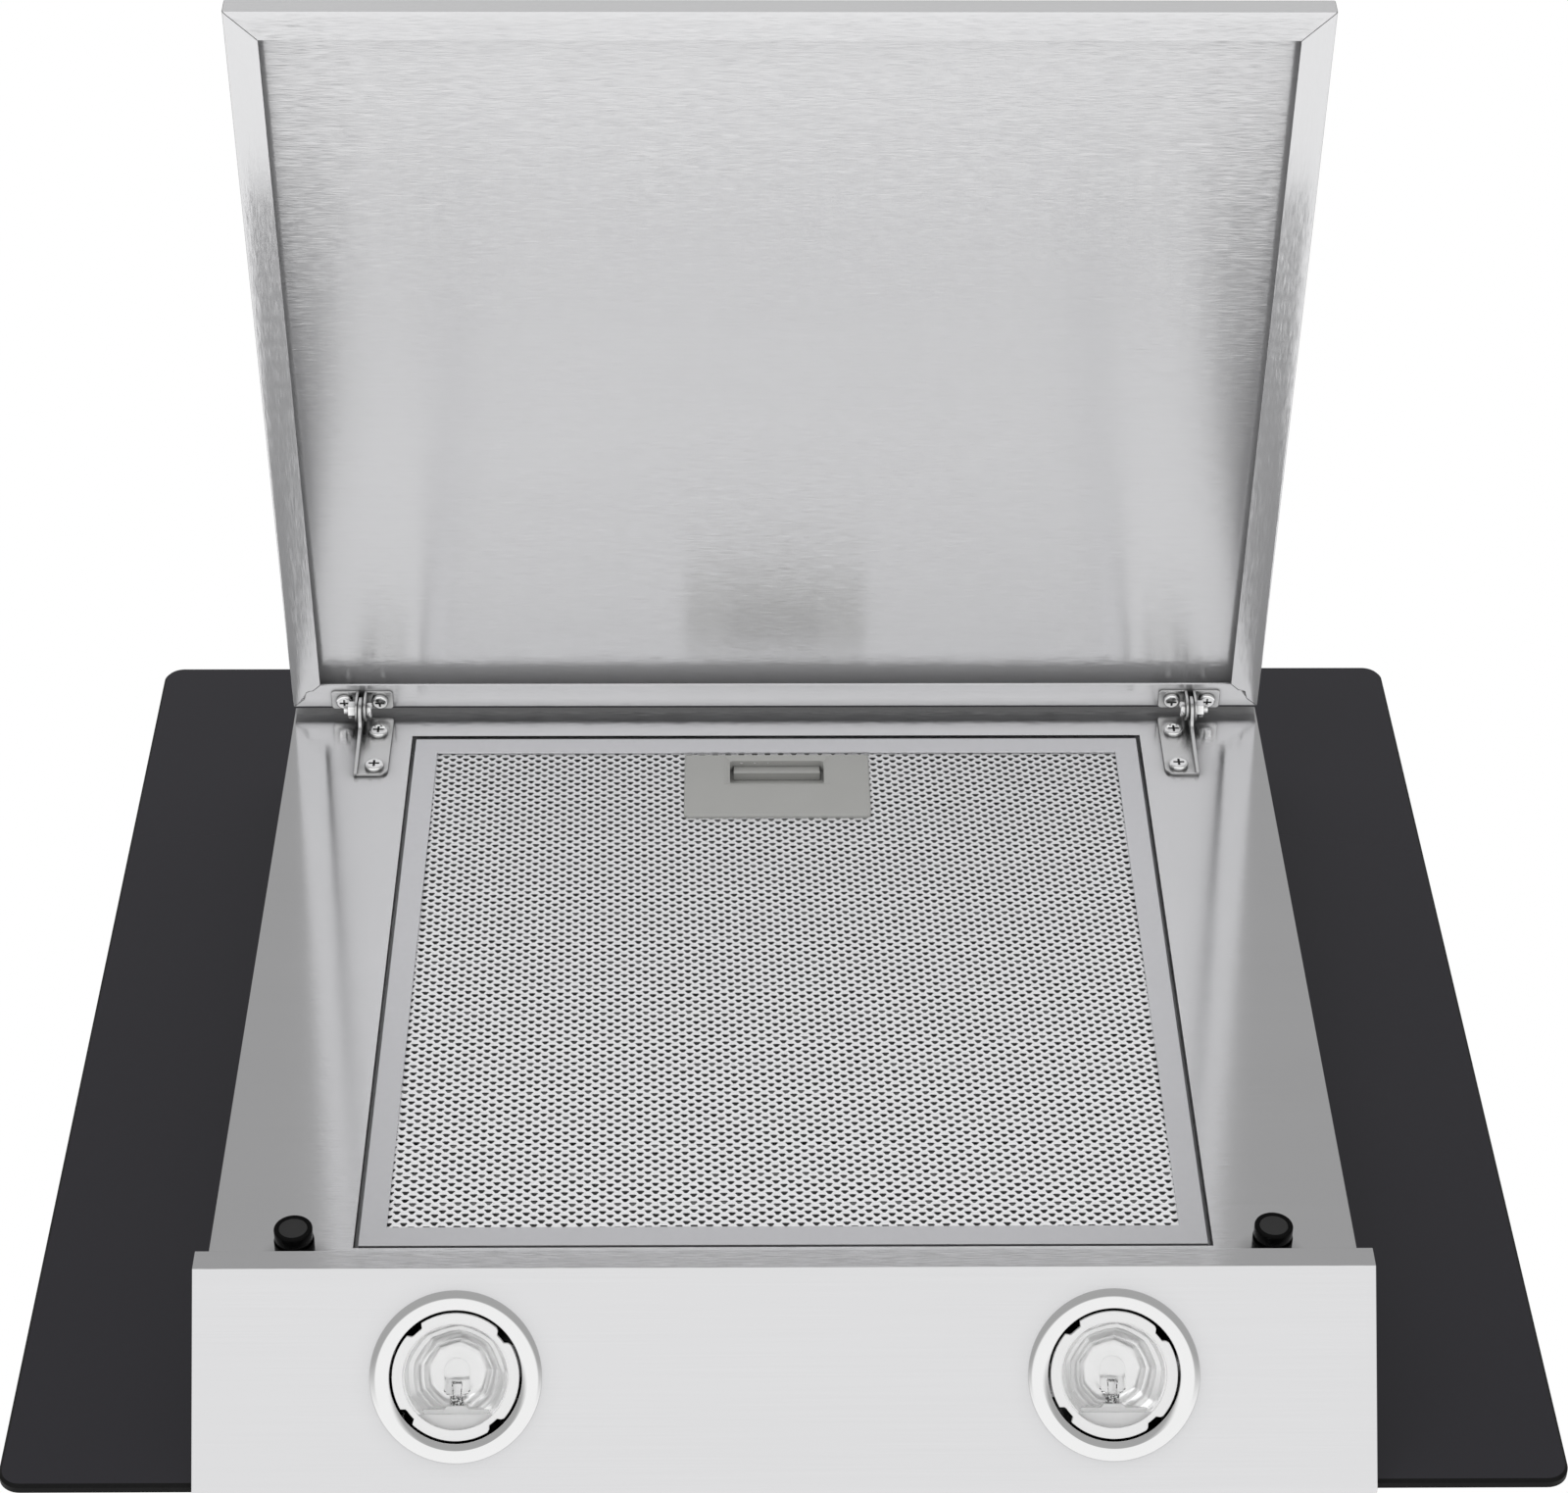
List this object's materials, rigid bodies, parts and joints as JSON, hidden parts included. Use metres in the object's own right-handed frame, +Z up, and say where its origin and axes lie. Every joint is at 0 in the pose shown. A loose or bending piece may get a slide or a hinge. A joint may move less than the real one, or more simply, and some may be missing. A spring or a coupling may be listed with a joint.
{
  "type": "range hood",
  "caption": "Slanted wall range hood in black glass and brushed steel, with a swing-open suction flap, grease filter, lamps, blower and duct outlet.",
  "frame": {"origin": "on the wall, midway between the two upper wall holes", "axes": "+X to the right seen from the room, +Y into the wall, +Z up"},
  "size_m": [0.6, 0.5991, 0.4733],
  "materials": {
    "black_glass": "toughened glass, black enamel behind, polished",
    "body_steel": "stainless sheet, brushed across the hood",
    "flap_steel": "stainless sheet, brushed across the hood",
    "zinc_steel": "zinc-plated sheet",
    "screw_steel": "bright steel fasteners",
    "hinge_steel": "pressed stainless brackets",
    "chrome_trim": "polished and plated",
    "ring_white": "white heat-proof moulding",
    "lamp_glass": "clear cover glass",
    "bulb_glass": "clear quartz capsule",
    "reflector_bright": "pressed bright aluminium",
    "post_black": "black moulding, slightly glossy",
    "magnet_dark": "ferrite disc",
    "filter_aluminium": "satin aluminium channel",
    "mesh_aluminium": "expanded aluminium sheet",
    "handle_grey": "grey moulding, fine grain",
    "latch_grey": "grey moulding, fine grain",
    "fan_black": "black moulding",
    "motor_metal": "plated motor can",
    "shaft_steel": "ground steel",
    "box_white": "pale moulding",
    "collar_grey": "dark grey moulding",
    "gland_black": "black nylon",
    "rubber_black": "black rubber bush",
    "board_green": "circuit board"
  },
  "bodies": {
    "root": {"glass_panel": "black_glass", "glass_grommets": "rubber_black", "glass_carrier": "zinc_steel", "rear_housing": "zinc_steel", "hanger_plates": "zinc_steel", "body_screws": "screw_steel", "body_nuts": "screw_steel", "body_tray": "body_steel", "lamp_strip": "body_steel", "filter_seat": "zinc_steel", "hinge_foot_screws": "screw_steel", "hinge_washers": "screw_steel", "hinge_bolts": "screw_steel", "hinge_nuts": "screw_steel", "catch_magnets": "magnet_dark", "blower_scroll": "fan_black", "scroll_cover": "fan_black", "motor_plate": "zinc_steel", "motor": "motor_metal", "motor_screws": "screw_steel", "outlet_collar": "collar_grey", "outlet_screws": "screw_steel", "terminal_box": "box_white", "terminal_block": "box_white", "cable_gland": "gland_black", "capacitor": "box_white", "capacitor_clip": "box_white", "lamp_transformer": "gland_black", "touch_board": "board_green", "touch_cover": "gland_black", "lamp_trim_left": "chrome_trim", "lamp_reflector_left": "reflector_bright", "lamp_socket_left": "ring_white", "lamp_bulb_left": "bulb_glass", "lamp_trim_right": "chrome_trim", "lamp_reflector_right": "reflector_bright", "lamp_socket_right": "ring_white", "lamp_bulb_right": "bulb_glass", "hinge_bracket_right": "hinge_steel", "catch_post_right": "post_black", "hinge_bracket_left": "hinge_steel", "catch_post_left": "post_black"},
    "flap": {"flap_panel": "flap_steel", "flap_angles_left": "hinge_steel", "flap_angles_right": "hinge_steel", "flap_angle_screws": "screw_steel"},
    "filter": {"filter_frame": "filter_aluminium", "filter_mesh_front": "mesh_aluminium", "filter_mesh_back": "mesh_aluminium", "filter_core": "mesh_aluminium", "filter_handle": "handle_grey"},
    "latch": {"filter_latch": "latch_grey"},
    "rotor": {"impeller": "fan_black", "motor_shaft": "shaft_steel"},
    "damper_front": {"damper_flap_front": "collar_grey"},
    "damper_rear": {"damper_flap_rear": "collar_grey"},
    "lamp_cover_left": {"lamp_ring_left": "ring_white", "lamp_glass_left": "lamp_glass"},
    "lamp_cover_right": {"lamp_ring_right": "ring_white", "lamp_glass_right": "lamp_glass"}
  },
  "joints": [
    {"name": "flap_hinge", "type": "hinge", "parent": "root", "child": "flap", "pos_m": [0, -0.32226, -0.05958], "axis": [-1, 0, 0], "range_deg": [-84.5, 3]},
    {"name": "filter_tilt", "type": "hinge", "parent": "root", "child": "filter", "pos_m": [0, -0.10034, -0.32705], "axis": [1, 0, 0], "range_deg": [0, 35]},
    {"name": "latch_slide", "type": "slide", "parent": "filter", "child": "latch", "axis": [0, 0.6157, -0.788], "range_m": [0, 0.005], "stiffness_N_per_m": 400, "springref_m": -0.002},
    {"name": "impeller_spin", "type": "hinge", "parent": "root", "child": "rotor", "pos_m": [0, -0.108, -0.06155], "axis": [1, 0, 0], "continuous": true},
    {"name": "damper_rear_swing", "type": "hinge", "parent": "root", "child": "damper_rear", "pos_m": [0, -0.154, 0.06965], "axis": [1, 0, 0], "range_deg": [0, 78]},
    {"name": "damper_front_swing", "type": "hinge", "parent": "root", "child": "damper_front", "pos_m": [0, -0.165, 0.06965], "axis": [-1, 0, 0], "range_deg": [0, 78]},
    {"name": "lamp_cover_left_turn", "type": "hinge", "parent": "root", "child": "lamp_cover_left", "pos_m": [-0.125, -0.05519, -0.37452], "axis": [0, 0, 1], "range_deg": [0, 20]},
    {"name": "lamp_cover_right_turn", "type": "hinge", "parent": "root", "child": "lamp_cover_right", "pos_m": [0.125, -0.05519, -0.37452], "axis": [0, 0, 1], "range_deg": [0, 20]}
  ]
}
